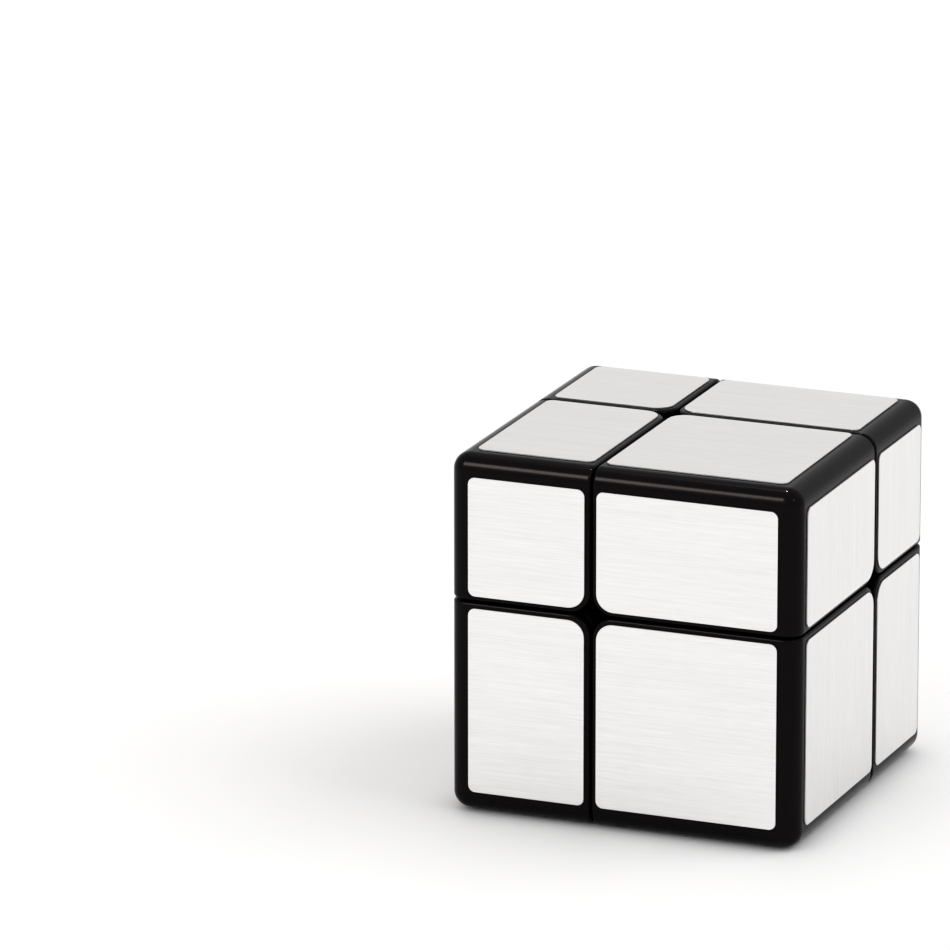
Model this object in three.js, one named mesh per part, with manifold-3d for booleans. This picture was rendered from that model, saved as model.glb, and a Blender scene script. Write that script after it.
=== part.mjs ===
// Mirror block cube: a 2x2x2 twisty cube whose three cut planes are off the middle.
// Millimetres, +Z up, front towards -Y. The origin is under the middle, on the surface it stands on.
//
// Eight corner pieces turn about a core. Each corner is a shell closed by a foot piece, whose neck
// passes between the hidden edge pieces and whose foot hooks under them. The edges hook under six
// hubs in the same way, and a screw holds each hub to the core.
// Every face between layers is a plane square to an axis or a sphere about the core's centre, so
// any one layer can turn past its neighbours.

import * as THREE from 'three';
import { mergeVertices } from 'three/addons/utils/BufferGeometryUtils.js';
import { RoundedBoxGeometry } from 'three/addons/geometries/RoundedBoxGeometry.js';
import Module from 'manifold-3d';

const wasm = await Module();
wasm.setup();

// Body of the cube, without its foils
const WIDTH = 50;
const DEPTH = 50;
const HEIGHT = 50;
// Thin side of each cut: the left, back and top layers
const LEFT_PART = 20.5;
const BACK_PART = 20.4;
const TOP_PART = 20.35;

// Corner shells and the foot pieces that close them
const WALL = 1.8;
const PLATE = 1.5;
const SKIN = 1.3;
const OUTER_FILLET = 2.4;
const CROSSING_FILLET = 3.0;
const RIM_BREAK = 0.4;
const PEG_R = 1.5;
const BOSS_WALL = 1.0;
const BOSS_LENGTH = 7;
const BOSS_IN_WALL = 0.5; // how deep the boss sits in the walls beside it

// Foils
const FOIL = 0.2;
const GLUE = 0.05;
const FOIL_FROM_OUTSIDE = 2.9;
const FOIL_FROM_CUT = 0.85;
const FOIL_CORNER = 1.0;
const FOIL_CROSSING_CORNER = 2.4;

// Mechanism
const RUN = 0.3; // gap between pieces that run past each other
const SEAM = 0.3; // gap between pieces that are fixed together
const CAP_THICK = 3.6;
const FOOT_THICK = 3.0;
const FOOT_CUT = 3.4; // half width of the hubs' stems, and where the feet begin
const CAP_CUT = 5.2; // half width of the hubs' caps, and where the necks begin

// Hub screws, each in a well that holds its spring
const SHANK_R = 1.2;
const HEAD_R = 2.1;
const HEAD_THICK = 1.4;
const HEAD_BELOW_CAP = 0.6;
const STEM_FLOOR = 1.2;

// Fineness of the faceted solids
const BALL_SEGMENTS = 20;
const ROUND_SEGMENTS = 12;
const FILLET_SEGMENTS = 2;
const OUTLINE_STEPS_PER_MM = 1.5; // steps in a rounded corner of an outline, by its radius
const WELD = 1e-4;
const BITE = 1; // how far one solid runs into another that it is joined to
const MISS = 0.02; // how far a rounding tool stands off the flat faces beside its rounding

const FAR = WIDTH + DEPTH + HEIGHT;
const PROUD = GLUE + FOIL;

const AXES = ['x', 'y', 'z'];
const SIDE_NAMES = {
  x: { '-1': 'left', 1: 'right' },
  y: { '-1': 'front', 1: 'back' },
  z: { '-1': 'bottom', 1: 'top' },
};
const NAME_ORDER = ['z', 'y', 'x'];

// Distance from the core's centre to the outside of the body, along each half axis
const REACH = {
  x: { '-1': LEFT_PART, 1: WIDTH - LEFT_PART },
  y: { '-1': DEPTH - BACK_PART, 1: BACK_PART },
  z: { '-1': HEIGHT - TOP_PART, 1: TOP_PART },
};
const SMALLEST = Math.min(...AXES.flatMap((axis) => [REACH[axis][-1], REACH[axis][1]]));

// Spheres of the mechanism, from the outside in
const CAVITY_R = SMALLEST - WALL - SEAM - SKIN;
const CAP_R = CAVITY_R - RUN;
const CAP_IN_R = CAP_R - CAP_THICK;
const FOOT_R = CAP_IN_R - RUN;
const FOOT_IN_R = FOOT_R - FOOT_THICK;
const CORE_R = FOOT_IN_R - RUN;

// ---------------------------------------------------------------- solids

// A closed three.js geometry as a solid that can be joined and cut
function solid(geometry) {
  geometry.deleteAttribute('normal');
  geometry.deleteAttribute('uv');
  const merged = mergeVertices(geometry, WELD);
  return new wasm.Manifold(new wasm.Mesh({
    numProp: 3,
    vertProperties: new Float32Array(merged.attributes.position.array),
    triVerts: new Uint32Array(merged.index.array),
  }));
}

// Box between two corners
function block(low, high) {
  const size = AXES.map((axis, i) => high[i] - low[i]);
  const middle = AXES.map((axis, i) => (high[i] + low[i]) / 2);
  const box = new THREE.BoxGeometry(...size);
  box.translate(...middle);
  return solid(box);
}

// Ball inside the true sphere, for the outside of a piece
function ball(radius) {
  return solid(new THREE.SphereGeometry(radius, BALL_SEGMENTS, BALL_SEGMENTS / 2));
}

// Ball that holds the whole true sphere, for cutting a hollow
function hollow(radius) {
  return ball(radius / Math.cos(Math.PI / BALL_SEGMENTS) ** 2);
}

// Matrix that turns (u, v, w) so that w lies along the axis: (y, z, x), (z, x, y) or (x, y, z)
function alongAxis(axis) {
  const turn = new THREE.Matrix4();
  if (axis === 'x') turn.set(0, 0, 1, 0, 1, 0, 0, 0, 0, 1, 0, 0, 0, 0, 0, 1);
  if (axis === 'y') turn.set(0, 1, 0, 0, 0, 0, 1, 0, 1, 0, 0, 0, 0, 0, 0, 1);
  return turn;
}

// The two axes across the given one, in the order that alongAxis takes them
function across(axis) {
  const i = AXES.indexOf(axis);
  return [AXES[(i + 1) % 3], AXES[(i + 2) % 3]];
}

// Round bar along an axis, between two distances from the core's centre on the side given
function bar(axis, side, radius, from, to, u = 0, v = 0) {
  const cylinder = new THREE.CylinderGeometry(radius, radius, to - from, ROUND_SEGMENTS);
  cylinder.rotateX(Math.PI / 2);
  cylinder.translate(u, v, side * (from + to) / 2);
  cylinder.applyMatrix4(alongAxis(axis));
  return solid(cylinder);
}

// Outline of a rectangle in the first quadrant, each corner rounded by its own radius:
// near (low, low), right (high, low), far (high, high) and left (low, high)
function roundedOutline(low, high, radii, sides) {
  const corners = [
    { at: [low[0] + radii.near, low[1] + radii.near], radius: radii.near, start: Math.PI },
    { at: [high[0] - radii.right, low[1] + radii.right], radius: radii.right, start: 1.5 * Math.PI },
    { at: [high[0] - radii.far, high[1] - radii.far], radius: radii.far, start: 0 },
    { at: [low[0] + radii.left, high[1] - radii.left], radius: radii.left, start: Math.PI / 2 },
  ];
  const points = corners.flatMap(({ at, radius, start }) => {
    const steps = Math.max(1, Math.round(radius * OUTLINE_STEPS_PER_MM));
    return Array.from({ length: steps + 1 }, (_, k) => {
      const angle = start + (k / steps) * Math.PI / 2;
      const u = at[0] + radius * Math.cos(angle);
      const v = at[1] + radius * Math.sin(angle);
      return new THREE.Vector2(u * sides[0], v * sides[1]);
    });
  });
  return new THREE.Shape(points);
}

// ---------------------------------------------------------------- meshes

const core = new THREE.Group();
core.position.set(
  LEFT_PART - WIDTH / 2,
  DEPTH / 2 - BACK_PART,
  PROUD + HEIGHT - TOP_PART,
);

function mesh(name, body, material) {
  const { vertProperties, triVerts } = body.getMesh();
  const geometry = new THREE.BufferGeometry();
  geometry.setAttribute('position', new THREE.BufferAttribute(vertProperties, 3));
  geometry.setIndex(new THREE.BufferAttribute(triVerts, 1));
  geometry.computeVertexNormals();
  const made = new THREE.Mesh(geometry, material());
  made.name = name;
  return made;
}

const finish = (color, roughness, metalness) => () => (
  new THREE.MeshStandardMaterial({ color, roughness, metalness })
);
const BLACK_ABS = finish('#151413', 0.38, 0);
const INNER_ABS = finish('#222120', 0.5, 0);
const SILVER_FOIL = finish('#e6e6e6', 0.32, 1);
const CORE_PLASTIC = finish('#d9d7d2', 0.45, 0);

// 'top_front_left' for { x: -1, y: -1, z: 1 }; an axis that the piece doesn't lie on is left out
function placeName(sides) {
  const used = NAME_ORDER.filter((axis) => sides[axis] !== 0);
  return used.map((axis) => SIDE_NAMES[axis][sides[axis]]).join('_');
}

// ---------------------------------------------------------------- zones of the mechanism

// Span of a piece along one axis, to one side of a cut or between the two
function span(side, cut) {
  if (side === 0) return [-(cut - RUN / 2), cut - RUN / 2];
  const near = side * (cut + RUN / 2);
  return side > 0 ? [near, FAR] : [-FAR, near];
}

// Box of a piece between the cut planes, with its own cut for the axes it lies on and the others
function zone(sides, cutOn, cutOff) {
  const spans = AXES.map((axis) => span(sides[axis], sides[axis] === 0 ? cutOff : cutOn));
  return block(spans.map((s) => s[0]), spans.map((s) => s[1]));
}

function band(inner, outer) {
  return ball(outer).subtract(hollow(inner));
}

// Foot inside the caps' sphere, and the neck that leaves it outwards
function footAndNeck(sides, neckTop) {
  const foot = band(FOOT_IN_R, FOOT_R).intersect(zone(sides, FOOT_CUT, FOOT_CUT));
  const neck = band(FOOT_R - BITE, neckTop).intersect(zone(sides, CAP_CUT, FOOT_CUT));
  return foot.add(neck);
}

// A hidden edge or a hub: foot, neck and the cap that holds its neighbours' feet down
function cappedPiece(sides) {
  const cap = band(CAP_IN_R, CAP_R).intersect(zone(sides, CAP_CUT, CAP_CUT));
  return footAndNeck(sides, CAP_IN_R + BITE).add(cap);
}

// ---------------------------------------------------------------- corners

// The corner's whole block, from the cut planes to the outside, with every edge rounded
function cornerBlock(sides) {
  const rounded = new RoundedBoxGeometry(WIDTH, DEPTH, HEIGHT, FILLET_SEGMENTS, OUTER_FILLET);
  const middle = AXES.map((axis) => (REACH[axis][1] - REACH[axis][-1]) / 2);
  rounded.translate(...middle);
  let body = solid(rounded).intersect(octant(sides, RUN / 2, -BITE));
  for (const axis of AXES) {
    const [u, v] = across(axis);
    const outline = roundedOutline(
      [RUN / 2 - MISS, RUN / 2 - MISS],
      [REACH[u][sides[u]] + MISS, REACH[v][sides[v]] + MISS],
      { near: CROSSING_FILLET, right: RIM_BREAK, far: MISS, left: RIM_BREAK },
      [sides[u], sides[v]],
    );
    const prism = new THREE.ExtrudeGeometry(outline, { depth: FAR, bevelEnabled: false });
    prism.translate(0, 0, sides[axis] > 0 ? 0 : -FAR);
    prism.applyMatrix4(alongAxis(axis));
    body = body.intersect(solid(prism));
  }
  return body;
}

// Box from one distance off the cut planes outwards to another short of the outside
function octant(sides, fromCut, fromOutside) {
  const low = [];
  const high = [];
  for (const axis of AXES) {
    const side = sides[axis];
    const near = side * fromCut;
    const far = side * (REACH[axis][side] - fromOutside);
    low.push(Math.min(near, far));
    high.push(Math.max(near, far));
  }
  return block(low, high);
}

// Middle of the peg that fixes the shell to its foot piece, upright beside the outer walls
function pegPlace(sides) {
  const inset = WALL + PEG_R + SEAM + BOSS_WALL - BOSS_IN_WALL;
  return ['x', 'y'].map((axis) => sides[axis] * (REACH[axis][sides[axis]] - inset));
}

function shell(sides) {
  const walls = cornerBlock(sides).subtract(octant(sides, -BITE, WALL));
  const top = REACH.z[sides.z] - WALL;
  const peg = pegPlace(sides);
  const boss = bar('z', sides.z, PEG_R + SEAM + BOSS_WALL, top - BOSS_LENGTH, top + BITE / 2, ...peg);
  const socket = bar('z', sides.z, PEG_R + SEAM, top - BOSS_LENGTH - BITE, top, ...peg);
  return walls.add(boss).subtract(socket);
}

function cornerFoot(sides) {
  const inside = cornerBlock(sides).intersect(octant(sides, RUN / 2, WALL + SEAM));
  const plates = inside.subtract(octant(sides, RUN / 2 + PLATE, -BITE));
  const skin = band(CAVITY_R, CAVITY_R + SKIN).intersect(inside);
  const pegTop = REACH.z[sides.z] - WALL - SEAM;
  const peg = bar('z', sides.z, PEG_R, RUN / 2 + PLATE - BITE, pegTop, ...pegPlace(sides));
  const cover = plates.subtract(hollow(CAVITY_R)).add(skin).add(peg);
  return footAndNeck(sides, CAVITY_R + BITE).add(cover);
}

// Foil on one outer face of a corner, drawn flat and turned to lie on that face
function foil(sides, axis) {
  const [u, v] = across(axis);
  const outline = roundedOutline(
    [FOIL_FROM_CUT, FOIL_FROM_CUT],
    [REACH[u][sides[u]] - FOIL_FROM_OUTSIDE, REACH[v][sides[v]] - FOIL_FROM_OUTSIDE],
    { near: FOIL_CROSSING_CORNER, right: FOIL_CORNER, far: FOIL_CORNER, left: FOIL_CORNER },
    [sides[u], sides[v]],
  );
  const sheet = new THREE.ExtrudeGeometry(outline, { depth: FOIL, bevelEnabled: false });
  const name = `foil_${placeName(sides)}_on_${SIDE_NAMES[axis][sides[axis]]}`;
  const made = mesh(name, solid(sheet), SILVER_FOIL);
  const near = REACH[axis][sides[axis]] + GLUE;
  const turned = new THREE.Group();
  turned.setRotationFromMatrix(alongAxis(axis));
  made.position.z = sides[axis] > 0 ? near : -near - FOIL;
  turned.add(made);
  return turned;
}

for (const z of [1, -1]) {
  for (const y of [-1, 1]) {
    for (const x of [-1, 1]) {
      const sides = { x, y, z };
      const corner = new THREE.Group();
      corner.add(mesh(`shell_${placeName(sides)}`, shell(sides), BLACK_ABS));
      corner.add(mesh(`foot_${placeName(sides)}`, cornerFoot(sides), INNER_ABS));
      for (const axis of AXES) corner.add(foil(sides, axis));
      core.add(corner);
    }
  }
}

// ---------------------------------------------------------------- hidden edges

for (const off of AXES) {
  const [u, v] = across(off);
  for (const sideU of [-1, 1]) {
    for (const sideV of [-1, 1]) {
      const sides = { [off]: 0, [u]: sideU, [v]: sideV };
      core.add(mesh(`edge_${placeName(sides)}`, cappedPiece(sides), INNER_ABS));
    }
  }
}

// ---------------------------------------------------------------- hubs and the core

let coreBody = ball(CORE_R);
for (const axis of AXES) {
  for (const side of [-1, 1]) {
    const sides = { x: 0, y: 0, z: 0, [axis]: side };
    const bore = bar(axis, side, SHANK_R + RUN, FOOT_IN_R - BITE, CAP_R);
    const well = bar(axis, side, HEAD_R + RUN, FOOT_IN_R + STEM_FLOOR, CAP_R + BITE);
    const hub = cappedPiece(sides).subtract(bore).subtract(well);
    core.add(mesh(`hub_${placeName(sides)}`, hub, INNER_ABS));

    const headTop = CAP_R - HEAD_BELOW_CAP;
    const shank = bar(axis, side, SHANK_R, CORE_R - BITE, headTop - HEAD_THICK / 2);
    const head = bar(axis, side, HEAD_R, headTop - HEAD_THICK, headTop);
    coreBody = coreBody.add(shank).add(head);
  }
}
core.add(mesh('core', coreBody, CORE_PLASTIC));

const group = new THREE.Group();
group.add(core);

export default group;
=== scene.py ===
import math

import bmesh
import bpy
from mathutils import Matrix, Vector


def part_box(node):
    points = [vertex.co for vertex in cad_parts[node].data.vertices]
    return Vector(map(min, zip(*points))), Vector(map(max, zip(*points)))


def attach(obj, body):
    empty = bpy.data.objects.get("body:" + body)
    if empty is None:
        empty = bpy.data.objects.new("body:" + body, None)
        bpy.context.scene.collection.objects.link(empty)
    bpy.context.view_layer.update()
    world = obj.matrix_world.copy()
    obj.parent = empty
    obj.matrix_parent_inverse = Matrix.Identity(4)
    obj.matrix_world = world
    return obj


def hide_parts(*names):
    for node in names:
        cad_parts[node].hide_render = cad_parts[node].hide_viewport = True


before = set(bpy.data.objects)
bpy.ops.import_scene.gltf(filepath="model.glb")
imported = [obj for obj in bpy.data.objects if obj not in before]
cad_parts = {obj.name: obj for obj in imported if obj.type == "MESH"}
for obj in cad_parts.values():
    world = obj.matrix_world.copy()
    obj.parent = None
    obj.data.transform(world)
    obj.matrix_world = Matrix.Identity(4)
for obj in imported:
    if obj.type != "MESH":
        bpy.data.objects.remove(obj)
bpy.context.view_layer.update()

# ---------------------------------------------------------------- camera
# A long lens from the front, a little to the right of the cube and above it, which frames the cube
# low on the right.

camera = bpy.data.objects.new("camera", bpy.data.cameras.new("camera"))
bpy.context.collection.objects.link(camera)
camera.location = (0.4196, -1.0990, 0.3877)
camera.rotation_euler = [math.radians(angle) for angle in (73.675, 0.048, 22.298)]
camera.data.sensor_width = 36
camera.data.lens = 343.4
camera.data.clip_end = 50
bpy.context.scene.camera = camera

# ---------------------------------------------------------------- floor and light
# A white paper floor in a white room. A broad soft light from the right fills the floor and a
# panel lifts the front. Two strips and a lamp overhead draw the lines and glints of light along
# the rounded edges, and light nothing but the black shells and the floor.

CORE_LOW, CORE_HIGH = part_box("core")
CENTRE = (CORE_LOW + CORE_HIGH) / 2
ROOM_LIGHT = 0.65
ROOM_COLOR = (1, 0.992, 0.988)
FLOOR_SIDE = 30
FLOOR_WHITE = 0.93
FILL_FROM = (0.70, 0.22, 0.68)
FILL_WIDTH = math.radians(55)
FILL_STRENGTH = 0.62
LIGHT_DISTANCE = 1.2
WARM = (1, 0.86, 0.82)
# Each panel: its direction from the cube, its width and height, its brightness, and whether it
# only shows as a reflection
PANELS = (
    ("front_panel", (-0.38, -0.90, 0.50), (1.2, 0.5), 0.36, False),
    ("edge_strip", (-0.42, -0.70, 0.60), (0.40, 0.36), 8.5, True),
    ("side_strip", (0.71, -0.40, 0.58), (0.16, 0.16), 7, True),
    ("top_lamp", (-0.20, 0.18, 0.96), (0.045, 0.045), 470, True),
)

bpy.context.scene.view_settings.view_transform = "Standard"
bpy.context.scene.view_settings.look = "High Contrast"


class Wire:
    """A node's socket that can be used in Python sums; each operator adds its Math node."""

    def __init__(self, tree, socket=None):
        self.tree = tree
        self.socket = socket

    def node(self, kind, settings=None, inputs=None, out=0):
        """Adds a node, sets its settings and sockets, and gives back one of its outputs."""
        made = self.tree.nodes.new(kind)
        for name, value in (settings or {}).items():
            if name == "stops":
                fill_ramp(made.color_ramp, value)
            else:
                setattr(made, name, value)
        for name, value in (inputs or {}).items():
            if isinstance(value, Wire):
                self.tree.links.new(value.socket, made.inputs[name])
            else:
                made.inputs[name].default_value = value
        return Wire(self.tree, made.outputs[out])

    def math(self, operation, *values):
        return self.node("ShaderNodeMath", {"operation": operation}, dict(enumerate(values)))

    def __add__(self, other):
        return self.math("ADD", self, other)

    def __mul__(self, other):
        return self.math("MULTIPLY", self, other)

    def __pow__(self, other):
        return self.math("POWER", self, other)

    __radd__ = __add__
    __rmul__ = __mul__


def fill_ramp(ramp, stops):
    """Sets a ramp's stops, each a place and a grey value."""
    while len(ramp.elements) < len(stops):
        ramp.elements.new(1)
    for element, (place, value) in zip(ramp.elements, stops):
        element.position = place
        element.color = (value, value, value, 1)


def surface(name, look, **sockets):
    """A material whose fixed sockets are given by name and whose others are set by look(wire)."""
    material = bpy.data.materials.new(name)
    material.use_nodes = True
    tree = material.node_tree
    shader = tree.nodes["Principled BSDF"]
    for socket, value in sockets.items():
        shader.inputs[socket.replace("_", " ")].default_value = value
    for socket, value in look(Wire(tree)).items():
        tree.links.new(value.socket, shader.inputs[socket])
    return material


def at_object(wire, scale=(1, 1, 1)):
    """Place on the piece in metres, stretched by a scale for each axis."""
    place = wire.node("ShaderNodeTexCoord", out="Object")
    return wire.node("ShaderNodeVectorMath", {"operation": "MULTIPLY"}, {0: place, 1: scale})


def noise(wire, place, scale, detail=2, roughness=0.5):
    return wire.node("ShaderNodeTexNoise", None, {
        "Vector": place, "Scale": scale, "Detail": detail, "Roughness": roughness})


def bump(wire, height, strength, distance):
    return wire.node("ShaderNodeBump", None, {
        "Height": height, "Strength": strength, "Distance": distance})


world = bpy.data.worlds.new("studio")
world.use_nodes = True
world.node_tree.nodes["Background"].inputs["Color"].default_value = (*ROOM_COLOR, 1)
world.node_tree.nodes["Background"].inputs["Strength"].default_value = ROOM_LIGHT
bpy.context.scene.world = world

fill = bpy.data.objects.new("fill", bpy.data.lights.new("fill", "SUN"))
fill.data.energy = FILL_STRENGTH
fill.data.angle = FILL_WIDTH
fill.rotation_euler = Vector(FILL_FROM).to_track_quat("Z", "Y").to_euler()
fill.visible_glossy = False
bpy.context.collection.objects.link(fill)

# What the strips and the lamp show on
glinting = bpy.data.collections.new("glinting")

for name, toward, size, brightness, only_reflected in PANELS:
    panel = bpy.data.objects.new(name, bpy.data.lights.new(name, "AREA"))
    panel.data.shape = "RECTANGLE"
    panel.data.size, panel.data.size_y = size
    panel.data.energy = brightness * math.pi * size[0] * size[1]
    panel.data.color = WARM if only_reflected else (1, 1, 1)
    panel.location = CENTRE + Vector(toward).normalized() * LIGHT_DISTANCE
    panel.rotation_euler = Vector(toward).to_track_quat("Z", "Y").to_euler()
    panel.visible_diffuse = not only_reflected
    if only_reflected:
        panel.light_linking.receiver_collection = glinting
    bpy.context.collection.objects.link(panel)


def paper_look(wire):
    grain = noise(wire, at_object(wire), 900)
    return {"Normal": bump(wire, grain, 0.05, 0.0002)}


floor_mesh = bpy.data.meshes.new("floor")
half = FLOOR_SIDE / 2
floor_mesh.from_pydata(
    [(-half, -half, 0), (half, -half, 0), (half, half, 0), (-half, half, 0)], [], [(0, 1, 2, 3)])
floor = bpy.data.objects.new("floor", floor_mesh)
floor.data.materials.append(surface(
    "white_paper", paper_look, Base_Color=(FLOOR_WHITE,) * 3 + (1,), Roughness=0.7))
bpy.context.collection.objects.link(floor)
glinting.objects.link(floor)

# ---------------------------------------------------------------- corner shells
# Eight hollow shells of black ABS, injection moulded, one for each corner. Their outer edges are
# well rounded, the rims along the cuts only just, and the edges that meet at a crossing most.
# Here, as in all that follows, a piece is drawn in millimetres about the core's centre.

MM = 0.001
PLACE = Matrix.Translation(CENTRE) @ Matrix.Scale(MM, 4)
SIDE_NAMES = (("left", "right"), ("front", "back"), ("bottom", "top"))
EIGHTHS = [(x, y, z) for z in (1, -1) for y in (-1, 1) for x in (-1, 1)]
OUTER_FILLET = 2.4
CROSSING_FILLET = 3.0
RIM_BREAK = 0.4
FILLET_SEGMENTS = 10
CROSSING_SEGMENTS = 12
RIM_SEGMENTS = 4
FLUSH = 1e-3
LONG_EDGE = 3
SHARP_RIM = math.radians(60)
WALL = 1.8
RUN = 0.3
SEAM = 0.3
PEG_R = 1.5
BOSS_WALL = 1.0
BOSS_LENGTH = 7
BOSS_IN_WALL = 0.5
ROUND_SEGMENTS = 48
BITE = 1
SHARP_ANGLE = math.radians(35)
SLIVER = 0.0003


def place_name(sides):
    """top_front_left for (-1, -1, 1); an axis that the piece doesn't lie on is left out."""
    words = [SIDE_NAMES[axis][sides[axis] > 0] for axis in (2, 1, 0) if sides[axis]]
    return "_".join(words)


def reach_of(sides):
    """How far a corner's plastic reaches from the core's centre along each axis, in mm."""
    low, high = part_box("shell_" + place_name(sides))
    return [(high[i] - CENTRE[i] if sides[i] > 0 else CENTRE[i] - low[i]) / MM for i in range(3)]


def box_form(low, high):
    form = bmesh.new()
    bmesh.ops.create_cube(form, size=1)
    size = [b - a for a, b in zip(low, high)]
    middle = [(a + b) / 2 for a, b in zip(low, high)]
    form.transform(Matrix.Translation(middle) @ Matrix.Diagonal((*size, 1)))
    return form


def octant_form(sides, near, far):
    """Box in one eighth of space, between a distance from the cuts and one along each axis."""
    ends = [sorted((side * near, side * far[i])) for i, side in enumerate(sides)]
    return box_form([end[0] for end in ends], [end[1] for end in ends])


def along(axis, side=1):
    """Turns +Z to point along an axis, on the side given."""
    direction = Vector([side if i == axis else 0 for i in range(3)])
    return direction.to_track_quat("Z", "Y").to_matrix().to_4x4()


def rod_form(radius, low, high, turn=Matrix(), at=(0, 0, 0)):
    """Round bar between two heights on an axis that starts as Z and is then turned and moved."""
    form = bmesh.new()
    bmesh.ops.create_cone(
        form, cap_ends=True, segments=ROUND_SEGMENTS, radius1=radius, radius2=radius,
        depth=high - low)
    form.transform(Matrix.Translation(at) @ turn @ Matrix.Translation((0, 0, (low + high) / 2)))
    return form


def object_of(name, shape):
    """An object of a mesh, or of a form that is used up by it."""
    mesh = shape
    if isinstance(shape, bmesh.types.BMesh):
        mesh = bpy.data.meshes.new(name)
        shape.to_mesh(mesh)
        shape.free()
    made = bpy.data.objects.new(name, mesh)
    bpy.context.collection.objects.link(made)
    return made


def settled(piece):
    """The piece's mesh with its modifiers applied; the piece itself is removed."""
    view = bpy.context.evaluated_depsgraph_get()
    mesh = bpy.data.meshes.new_from_object(piece.evaluated_get(view))
    bpy.data.objects.remove(piece)
    return mesh


def welded(mesh, distance):
    """The mesh with points closer than a distance made one, and the slivers between them gone."""
    form = bmesh.new()
    form.from_mesh(mesh)
    bmesh.ops.remove_doubles(form, verts=form.verts, dist=distance)
    bmesh.ops.dissolve_degenerate(form, dist=distance, edges=form.edges)
    form.to_mesh(mesh)
    form.free()
    return mesh


def joined(base, *steps):
    """base with each (operation, form) of the steps joined to it or cut from it."""
    piece = object_of("work", base)
    tools = []
    for operation, form in steps:
        tool = object_of("tool", form)
        cut = piece.modifiers.new(operation, "BOOLEAN")
        cut.operation = operation
        cut.solver = "EXACT"
        cut.object = tool
        tools.append(tool)
    mesh = settled(piece)
    for tool in tools:
        bpy.data.objects.remove(tool)
    return welded(mesh, SLIVER)


def round_off(form, edges, radius, segments):
    bmesh.ops.bevel(
        form, geom=edges, offset=radius, offset_type="OFFSET", segments=segments, profile=0.5,
        affect="EDGES", clamp_overlap=False)


def edges_on(form, sides, near, count):
    """Edges of a block that lie on the given number of its cut planes."""
    found = []
    for edge in form.edges:
        middle = (edge.verts[0].co + edge.verts[1].co) / 2
        along_edge = edge.verts[1].co - edge.verts[0].co
        across = [i for i in range(3) if abs(along_edge[i]) < FLUSH]
        if sum(abs(middle[i] * sides[i] - near) < FLUSH for i in across) == count:
            found.append(edge)
    return found


def block_form(sides, far, outer=OUTER_FILLET, rim=RIM_BREAK):
    """A corner's block: its edges at the crossings are rounded, then its outer edges, and then
    the sharp rim that runs all the way round between the outside and the cuts."""
    near = RUN / 2
    form = octant_form(sides, near, far)
    round_off(form, edges_on(form, sides, near, 2), CROSSING_FILLET, CROSSING_SEGMENTS)
    if outer:
        outside = [edge for edge in edges_on(form, sides, near, 0)
                   if edge.calc_length() > LONG_EDGE and edge.calc_face_angle(0) > SHARP_RIM]
        round_off(form, outside, outer, FILLET_SEGMENTS)
    rims = [edge for edge in form.edges if edge.calc_face_angle(0) > SHARP_RIM]
    round_off(form, rims, rim, RIM_SEGMENTS)
    bmesh.ops.recalc_face_normals(form, faces=form.faces)
    return form


def put(name, shape, material, body, slot, *nodes):
    """Puts a shape where it belongs, with its material, and lets it ride on its body."""
    piece = object_of(name, shape)
    mesh = piece.data
    mesh.transform(PLACE)
    mesh.name = name
    mesh.materials.clear()
    mesh.materials.append(material)
    mesh.polygons.foreach_set("use_smooth", [True] * len(mesh.polygons))
    mesh.polygons.foreach_set("material_index", [0] * len(mesh.polygons))
    mesh.set_sharp_from_angle(angle=SHARP_ANGLE)
    shading = piece.modifiers.new("shading", "WEIGHTED_NORMAL")
    shading.keep_sharp = True
    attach(piece, body)
    if nodes:
        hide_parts(*nodes)
    return piece


def black_abs_look(wire):
    place = at_object(wire)
    spark = noise(wire, place, 2600, 3)
    flow = noise(wire, place, 60, 3)
    scuffs = noise(wire, at_object(wire, (300, 1400, 500)), 1, 4, 0.7)
    roughness = 0.12 + 0.07 * flow + 0.10 * scuffs ** 4
    tint = wire.node("ShaderNodeMix", {"data_type": "RGBA"}, {
        "Factor": flow, "A": (0.0065, 0.0050, 0.0056, 1), "B": (0.0095, 0.0076, 0.0084, 1)}, out=2)
    return {
        "Base Color": tint,
        "Roughness": roughness,
        "Normal": bump(wire, spark + 0.4 * flow, 0.12, 0.00004),
    }


BLACK_ABS = surface("black_abs", black_abs_look, Specular_IOR_Level=0.14)


def peg_place(sides, reach):
    """Where the upright peg stands that holds a shell and what closes it together."""
    inset = WALL + PEG_R + SEAM + BOSS_WALL - BOSS_IN_WALL
    return (sides[0] * (reach[0] - inset), sides[1] * (reach[1] - inset), 0)


def shell_mesh(sides, reach):
    upright = along(2, sides[2])
    at = peg_place(sides, reach)
    top = reach[2] - WALL
    foot = top - BOSS_LENGTH
    boss = rod_form(PEG_R + SEAM + BOSS_WALL, foot, top + BITE / 2, upright, at)
    socket = rod_form(PEG_R + SEAM, foot - BITE, top, upright, at)
    return joined(
        block_form(sides, reach),
        ("DIFFERENCE", octant_form(sides, -BITE, [r - WALL for r in reach])),
        ("UNION", boss),
        ("DIFFERENCE", socket))


for sides in EIGHTHS:
    name = place_name(sides)
    case = put("case_" + name, shell_mesh(sides, reach_of(sides)), BLACK_ABS,
               "corner_" + name, "body_plastic", "shell_" + name)
    glinting.objects.link(case)

# ---------------------------------------------------------------- silver foils
# Twenty-four foils of brushed metallised film, die cut with round corners and stuck on, one on
# each outer face. Each was cut from its own place on the sheet, so no two share their streaks.

FOIL = 0.2
FOIL_LIFT = 0.05
FOIL_FROM_OUTSIDE = 2.9
FOIL_FROM_CUT = 0.85
FOIL_CORNER = 1.0
FOIL_CROSSING_CORNER = 2.4
CORNER_STEPS = 10
FOIL_EDGE_BREAK = 0.04
SHEET_STEP = 0.37


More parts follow.
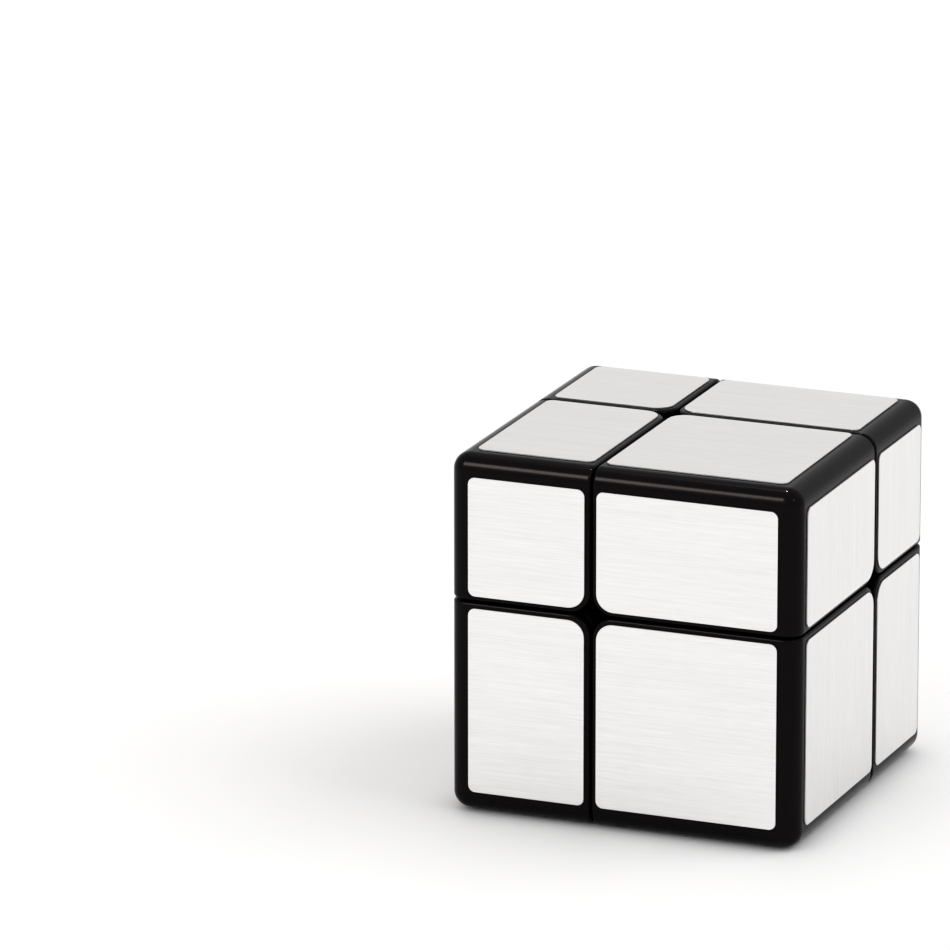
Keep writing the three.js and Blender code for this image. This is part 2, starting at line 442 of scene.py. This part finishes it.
def foil_outline(near, far):
    """Round-cornered rectangle, widest round at the crossing of the cuts, as (u, v) points."""
    corners = (
        (near[0], near[1], FOIL_CROSSING_CORNER, 1, 1, math.pi),
        (far[0], near[1], FOIL_CORNER, -1, 1, 1.5 * math.pi),
        (far[0], far[1], FOIL_CORNER, -1, -1, 0),
        (near[0], far[1], FOIL_CORNER, 1, -1, 0.5 * math.pi),
    )
    points = []
    for u, v, radius, to_u, to_v, start in corners:
        for k in range(CORNER_STEPS + 1):
            angle = start + k / CORNER_STEPS * math.pi / 2
            points.append((
                u + to_u * radius + radius * math.cos(angle),
                v + to_v * radius + radius * math.sin(angle)))
    return points


def foil_mesh(sides, axis, reach, sheet_row):
    """A foil with a broken top edge; its UV map is its place on the sheet it was cut from."""
    u, v = [i for i in range(3) if i != axis]
    near = (FOIL_FROM_CUT, FOIL_FROM_CUT)
    far = (reach[u] - FOIL_FROM_OUTSIDE, reach[v] - FOIL_FROM_OUTSIDE)
    outline = foil_outline(near, far)
    middle = Vector(((near[0] + far[0]) / 2, (near[1] + far[1]) / 2))
    form = bmesh.new()
    rings = []
    for inset, lift in ((0, 0), (0, FOIL - FOIL_EDGE_BREAK), (FOIL_EDGE_BREAK, FOIL)):
        ring = []
        for point in outline:
            inward = middle - Vector(point)
            shrunk = Vector(point) + inward.normalized() * inset
            place = [0, 0, 0]
            place[u], place[v] = sides[u] * shrunk[0], sides[v] * shrunk[1]
            place[axis] = sides[axis] * (reach[axis] + FOIL_LIFT + lift)
            ring.append(form.verts.new(place))
        rings.append(ring)
    for low, high in zip(rings, rings[1:]):
        for i, vert in enumerate(low):
            j = (i + 1) % len(low)
            form.faces.new((vert, low[j], high[j], high[i]))
    form.faces.new(rings[0])
    form.faces.new(rings[-1])
    bmesh.ops.recalc_face_normals(form, faces=form.faces)
    sheet = form.loops.layers.uv.new("sheet")
    brushed = 2 if axis == 0 else 0
    other = u + v - brushed
    for face in form.faces:
        for loop in face.loops:
            co = loop.vert.co
            loop[sheet].uv = (co[brushed] * MM, co[other] * MM + sheet_row * SHEET_STEP)
    mesh = bpy.data.meshes.new("foil")
    form.to_mesh(mesh)
    form.free()
    return mesh


def foil_look(wire):
    sheet = wire.node("ShaderNodeUVMap", {"uv_map": "sheet"})

    def brushed(along_scale, across_scale, detail, roughness=0.6):
        place = wire.node("ShaderNodeVectorMath", {"operation": "MULTIPLY"}, {
            0: sheet, 1: (along_scale, across_scale, 1)})
        return noise(wire, place, 1, detail, roughness)

    fine = brushed(260, 7500, 3)
    streaks = brushed(70, 3100, 4)
    bands = brushed(28, 520, 3)
    scratch = brushed(150, 5200, 1) ** 6
    shade = 0.42 * streaks + 0.38 * fine + 0.20 * bands
    tone = wire.node("ShaderNodeValToRGB", {"stops": [(0.34, 0), (0.66, 1)]}, {"Fac": shade})
    color = wire.node("ShaderNodeMix", {"data_type": "RGBA"}, {
        "Factor": tone, "A": (0.775, 0.773, 0.768, 1), "B": (0.885, 0.885, 0.885, 1)}, out=2)
    return {
        "Base Color": color,
        "Roughness": 0.24 + 0.18 * streaks + 0.5 * scratch,
        "Normal": bump(wire, 0.5 * streaks + 0.5 * fine, 0.22, 0.00004),
    }


SILVER_FOIL = surface("brushed_silver_foil", foil_look, Metallic=1)

for row, sides in enumerate(EIGHTHS):
    name = place_name(sides)
    reach = reach_of(sides)
    for axis in range(3):
        face = SIDE_NAMES[axis][sides[axis] > 0]
        put(f"film_{name}_on_{face}", foil_mesh(sides, axis, reach, 3 * row + axis), SILVER_FOIL,
            "corner_" + name, "silver_foil", f"foil_{name}_on_{face}")

# ---------------------------------------------------------------- corner feet
# Eight pieces of black ABS, plainer than the shells, that close them from inside: three plates,
# a dished skin and a peg that is pressed into the shell's boss. The neck and the foot on the
# inner corner hook the piece under the hidden edges.

PLATE = 1.5
SKIN = 1.3
SMALLEST = min(min(reach_of(sides)) for sides in EIGHTHS)
CAP_THICK = 3.6
FOOT_THICK = 3.0
FOOT_CUT = 3.4
CAP_CUT = 5.2
CAVITY_R = SMALLEST - WALL - SEAM - SKIN
CAP_R = CAVITY_R - RUN
CAP_IN_R = CAP_R - CAP_THICK
FOOT_R = CAP_IN_R - RUN
FOOT_IN_R = FOOT_R - FOOT_THICK
BALL_STEPS = 72
PLATE_BREAK = 0.25


def ball_form(radius):
    form = bmesh.new()
    bmesh.ops.create_uvsphere(
        form, u_segments=BALL_STEPS, v_segments=BALL_STEPS // 2, radius=radius)
    return form


def zone_form(sides, cut_on, cut_off):
    """Box between the cuts: from cut_on outwards along the axes a piece lies on, and between
    the two cut_offs along the others."""
    low, high = [], []
    for side in sides:
        near = cut_on + RUN / 2
        span = {-1: (-2 * SMALLEST, -near), 0: (RUN / 2 - cut_off, cut_off - RUN / 2),
                1: (near, 2 * SMALLEST)}[side]
        low.append(span[0])
        high.append(span[1])
    return box_form(low, high)


def layer(sides, cut_on, cut_off, inner, outer):
    """Part of a zone between two balls about the core's centre."""
    return joined(
        zone_form(sides, cut_on, cut_off),
        ("INTERSECT", ball_form(outer)),
        ("DIFFERENCE", ball_form(inner)))


def neck(sides, top):
    return layer(sides, CAP_CUT, FOOT_CUT, FOOT_R - BITE, top)


def foot(sides):
    return layer(sides, FOOT_CUT, FOOT_CUT, FOOT_IN_R, FOOT_R)


def mirrored(mesh, turn):
    """A copy of a mesh turned or mirrored by a matrix, with its faces pointing out."""
    form = bmesh.new()
    form.from_mesh(mesh)
    form.transform(turn)
    if turn.determinant() < 0:
        bmesh.ops.reverse_faces(form, faces=form.faces)
    return form


def cover_mesh(sides, reach):
    """What closes a shell: plates along the cuts, a dished skin, a peg, a neck and a foot."""
    inner_reach = [r - WALL - SEAM for r in reach]
    top = inner_reach[2]
    at = peg_place(sides, reach)
    hollow = joined(
        octant_form(sides, RUN / 2 + PLATE, [r + BITE for r in reach]),
        ("DIFFERENCE", ball_form(CAVITY_R + SKIN)))
    peg = rod_form(PEG_R, RUN / 2 + PLATE - BITE, top, along(2, sides[2]), at)
    return joined(
        block_form(sides, inner_reach, 0, PLATE_BREAK),
        ("DIFFERENCE", hollow),
        ("DIFFERENCE", ball_form(CAVITY_R)),
        ("UNION", peg),
        ("UNION", mirrored(FOOT_AND_NECK, Matrix.Diagonal((*sides, 1)))))


def inner_abs_look(wire):
    place = at_object(wire)
    grain = noise(wire, place, 1800, 3)
    flow = noise(wire, place, 90, 3)
    tint = wire.node("ShaderNodeMix", {"data_type": "RGBA"}, {
        "Factor": flow, "A": (0.012, 0.011, 0.011, 1), "B": (0.020, 0.019, 0.019, 1)}, out=2)
    return {
        "Base Color": tint,
        "Roughness": 0.38 + 0.16 * flow,
        "Normal": bump(wire, grain + 0.5 * flow, 0.25, 0.00005),
    }


INNER_ABS = surface("inner_abs", inner_abs_look, Specular_IOR_Level=0.3)
TRIPLE = (1, 1, 1)
FOOT_AND_NECK = joined(neck(TRIPLE, CAVITY_R + BITE), ("UNION", foot(TRIPLE)))

for sides in EIGHTHS:
    name = place_name(sides)
    put("cover_" + name, cover_mesh(sides, reach_of(sides)), INNER_ABS,
        "corner_" + name, "inner_plastic", "foot_" + name)

# ---------------------------------------------------------------- hidden edges
# Twelve small black ABS pieces between the corners and the hubs. Each one's cap holds down the
# feet of two corners, and its own foot hooks under the caps of two hubs.

INNER_BREAK = 0.2
INNER_SEGMENTS = 3


def softened(mesh):
    """A moulded piece with its sharp edges broken, so that it runs past its neighbours."""
    piece = object_of("work", mesh)
    edges = piece.modifiers.new("edges", "BEVEL")
    edges.limit_method = "ANGLE"
    edges.angle_limit = SHARP_RIM
    edges.width = INNER_BREAK
    edges.segments = INNER_SEGMENTS
    return settled(piece)


def capped_mesh(sides):
    """A cap that holds its neighbours' feet down, on a neck and a foot."""
    return joined(
        layer(sides, CAP_CUT, CAP_CUT, CAP_IN_R, CAP_R),
        ("UNION", neck(sides, CAP_IN_R + BITE)),
        ("UNION", foot(sides)))


EDGE_ONE = softened(capped_mesh((0, 1, 1)))

for off in range(3):
    u, v = (off + 1) % 3, (off + 2) % 3
    for side_u in (-1, 1):
        for side_v in (-1, 1):
            turn = Matrix.Diagonal((0, 0, 0, 1))
            turn[off][0], turn[u][1], turn[v][2] = 1, side_u, side_v
            sides = [0, 0, 0]
            sides[u], sides[v] = side_u, side_v
            name = place_name(sides)
            put("link_" + name, mirrored(EDGE_ONE, turn), INNER_ABS,
                "edge_" + name, "inner_plastic", "edge_" + name)

# ---------------------------------------------------------------- hubs
# Six black ABS hubs, one under the middle of each face's crossing. A well in each holds the
# spring and the head of the screw that it turns on.

SHANK_R = 1.2
HEAD_R = 2.1
STEM_FLOOR = 1.2
SHORT_EDGE = 0.01
FACES = [(axis, side) for axis in range(3) for side in (-1, 1)]

HUB_ONE = joined(
    softened(welded(capped_mesh((0, 0, 1)), SHORT_EDGE)),
    ("DIFFERENCE", rod_form(SHANK_R + RUN, FOOT_IN_R - BITE, CAP_R)),
    ("DIFFERENCE", rod_form(HEAD_R + RUN, FOOT_IN_R + STEM_FLOOR, CAP_R + BITE)))


def face_name(axis, side):
    return SIDE_NAMES[axis][side > 0]


for axis, side in FACES:
    name = face_name(axis, side)
    put("hub_piece_" + name, mirrored(HUB_ONE, along(axis, side)), INNER_ABS,
        "hub_" + name, "inner_plastic", "hub_" + name)

# ---------------------------------------------------------------- core
# The middle of the cube: a ball of white nylon, moulded in two halves with eight hollows to keep
# its walls even, that takes the six screws.

CORE_R = FOOT_IN_R - RUN
POCKET_R = 3.4
POCKET_AT = 10.2
BORE_R = 1.05
BORE_DEPTH = 6.5
PARTING = 0.12

core_steps = []
for sides in EIGHTHS:
    pocket = ball_form(POCKET_R)
    pocket.transform(Matrix.Translation(Vector(sides).normalized() * POCKET_AT))
    core_steps.append(("DIFFERENCE", pocket))
for axis, side in FACES:
    core_steps.append(("DIFFERENCE", rod_form(
        BORE_R, CORE_R - BORE_DEPTH, CORE_R + BITE, along(axis, side))))
parting = rod_form(CORE_R + BITE, -PARTING / 2, PARTING / 2)
core_steps.append(("DIFFERENCE", joined(
    parting, ("DIFFERENCE", ball_form(CORE_R - PARTING)))))


def nylon_look(wire):
    place = at_object(wire)
    cloud = noise(wire, place, 160, 3)
    grain = noise(wire, place, 2200, 2)
    tint = wire.node("ShaderNodeMix", {"data_type": "RGBA"}, {
        "Factor": cloud, "A": (0.66, 0.65, 0.61, 1), "B": (0.74, 0.73, 0.70, 1)}, out=2)
    return {
        "Base Color": tint,
        "Roughness": 0.38 + 0.14 * cloud,
        "Normal": bump(wire, grain, 0.2, 0.00004),
    }


NYLON = surface("white_nylon", nylon_look)
put("core_ball", joined(ball_form(CORE_R), *core_steps), NYLON, "core", "core_plastic", "core")

# ---------------------------------------------------------------- screws and washers
# Six pan-head steel screws with a cross recess, screwed into the core through the hubs, each
# with a flat washer under its head.

PITCH = 0.8
THREAD_DEPTH = 0.22
THREAD_FROM = CORE_R - 6
THREAD_TO = CORE_R + 0.4
TURN_STEPS = 20
HEAD_THICK = 1.4
HEAD_BELOW_CAP = 0.6
HEAD_EDGE = 0.35
HEAD_CROWN = 0.1
RECESS_WIDTH = 0.55
RECESS_LENGTH = 2.4
RECESS_DEPTH = 0.8
WASHER_R = 2.05
WASHER_THICK = 0.3
WASHER_PLAY = 0.1
WASHER_BREAK = 0.05
STEEL_GAP = 0.02


def ring_at(form, outline, angle, rise=0):
    """The points of an outline of (radius, height), swung about Z by an angle and lifted."""
    return [form.verts.new((r * math.cos(angle), r * math.sin(angle), z + rise))
            for r, z in outline]


def skin_between(form, here, there):
    """Faces from each side of one ring to the same side of the next."""
    for i in range(len(here)):
        j = (i + 1) % len(here)
        form.faces.new((here[i], here[j], there[j], there[i]))


def turned_form(outline):
    """Closed solid turned about Z from an outline of (radius, height) points."""
    form = bmesh.new()
    rings = [ring_at(form, outline, 2 * math.pi * k / ROUND_SEGMENTS)
             for k in range(ROUND_SEGMENTS)]
    for here, there in zip(rings, rings[1:] + rings[:1]):
        skin_between(form, here, there)
    bmesh.ops.remove_doubles(form, verts=form.verts, dist=FLUSH)
    bmesh.ops.recalc_face_normals(form, faces=form.faces)
    return form


def coil_form(outline, pitch, turns, start):
    """Closed solid swept up a helix about Z from an outline of (radius, height) points."""
    form = bmesh.new()
    rings = []
    for k in range(round(turns * TURN_STEPS) + 1):
        angle = 2 * math.pi * k / TURN_STEPS
        rings.append(ring_at(form, outline, angle, start + pitch * k / TURN_STEPS))
    for here, there in zip(rings, rings[1:]):
        skin_between(form, here, there)
    form.faces.new(rings[0])
    form.faces.new(rings[-1])
    bmesh.ops.recalc_face_normals(form, faces=form.faces)
    return form


def turned_to(form, axis, side):
    form.transform(along(axis, side))
    return form


def steel_look(wire):
    place = at_object(wire)
    drawn = noise(wire, at_object(wire, (5000, 5000, 600)), 1, 3)
    bloom = noise(wire, place, 700, 3)
    tint = wire.node("ShaderNodeMix", {"data_type": "RGBA"}, {
        "Factor": bloom, "A": (0.50, 0.50, 0.52, 1), "B": (0.66, 0.65, 0.64, 1)}, out=2)
    return {
        "Base Color": tint,
        "Roughness": 0.22 + 0.18 * bloom,
        "Normal": bump(wire, drawn, 0.15, 0.00002),
    }


STEEL = surface("plated_steel", steel_look, Metallic=1)
HEAD_TOP = CAP_R - HEAD_BELOW_CAP
UNDER_HEAD = HEAD_TOP - HEAD_THICK
THREAD_ROOT = SHANK_R - THREAD_DEPTH
screw_outline = [
    (0, THREAD_FROM - SHANK_R), (THREAD_ROOT, THREAD_FROM), (THREAD_ROOT, THREAD_TO),
    (SHANK_R, THREAD_TO + THREAD_DEPTH), (SHANK_R, UNDER_HEAD), (HEAD_R, UNDER_HEAD),
    (HEAD_R, HEAD_TOP - 2 * HEAD_EDGE), (HEAD_R - HEAD_EDGE / 2, HEAD_TOP - HEAD_EDGE),
    (HEAD_R - 2 * HEAD_EDGE, HEAD_TOP - HEAD_CROWN), (0, HEAD_TOP)]

# The ridge of the thread starts a little below its root, so that it is one with the shank
THREAD_FOOT = SHANK_R - 1.4 * THREAD_DEPTH
THREAD_HALF = 0.35 * PITCH
thread_section = [(THREAD_FOOT, -THREAD_HALF), (SHANK_R, 0), (THREAD_FOOT, THREAD_HALF)]

recess_steps = []
for width, length in ((RECESS_WIDTH, RECESS_LENGTH), (RECESS_LENGTH, RECESS_WIDTH)):
    recess_steps.append(("DIFFERENCE", box_form(
        (-width / 2, -length / 2, HEAD_TOP - RECESS_DEPTH),
        (width / 2, length / 2, HEAD_TOP + BITE))))
SCREW_ONE = joined(
    turned_form(screw_outline),
    *recess_steps,
    ("UNION", coil_form(thread_section, PITCH, (THREAD_TO - THREAD_FROM) / PITCH, THREAD_FROM)))

washer_low = UNDER_HEAD - WASHER_THICK
washer_high = UNDER_HEAD - STEEL_GAP
washer_outline = [
    (SHANK_R + WASHER_PLAY, washer_low), (WASHER_R - WASHER_BREAK, washer_low),
    (WASHER_R, washer_low + WASHER_BREAK), (WASHER_R, washer_high - WASHER_BREAK),
    (WASHER_R - WASHER_BREAK, washer_high), (SHANK_R + WASHER_PLAY, washer_high)]

for axis, side in FACES:
    name = face_name(axis, side)
    put("screw_" + name, mirrored(SCREW_ONE, along(axis, side)), STEEL, "core", None)
    washer = turned_to(turned_form(washer_outline), axis, side)
    put("washer_" + name, washer, STEEL, "core", None)

# ---------------------------------------------------------------- springs
# Six small coil springs of round steel wire, one round each screw in the well of its hub. They
# press the hubs, and with them the whole cube, against the core.

WIRE_R = 0.175
COIL_R = 1.85
SPRING_TURNS = 6
WIRE_SIDES = 10
SPRING_FROM = FOOT_IN_R + STEM_FLOOR + WIRE_R + STEEL_GAP
SPRING_TO = UNDER_HEAD - WASHER_THICK - WIRE_R - STEEL_GAP
SPRING_PITCH = (SPRING_TO - SPRING_FROM) / SPRING_TURNS

wire_section = [(COIL_R + WIRE_R * math.cos(2 * math.pi * k / WIRE_SIDES),
                 WIRE_R * math.sin(2 * math.pi * k / WIRE_SIDES)) for k in range(WIRE_SIDES)]

for axis, side in FACES:
    name = face_name(axis, side)
    coil = coil_form(wire_section, SPRING_PITCH, SPRING_TURNS, SPRING_FROM)
    put("spring_" + name, turned_to(coil, axis, side), STEEL, "hub_" + name, None)

bpy.context.view_layer.update()
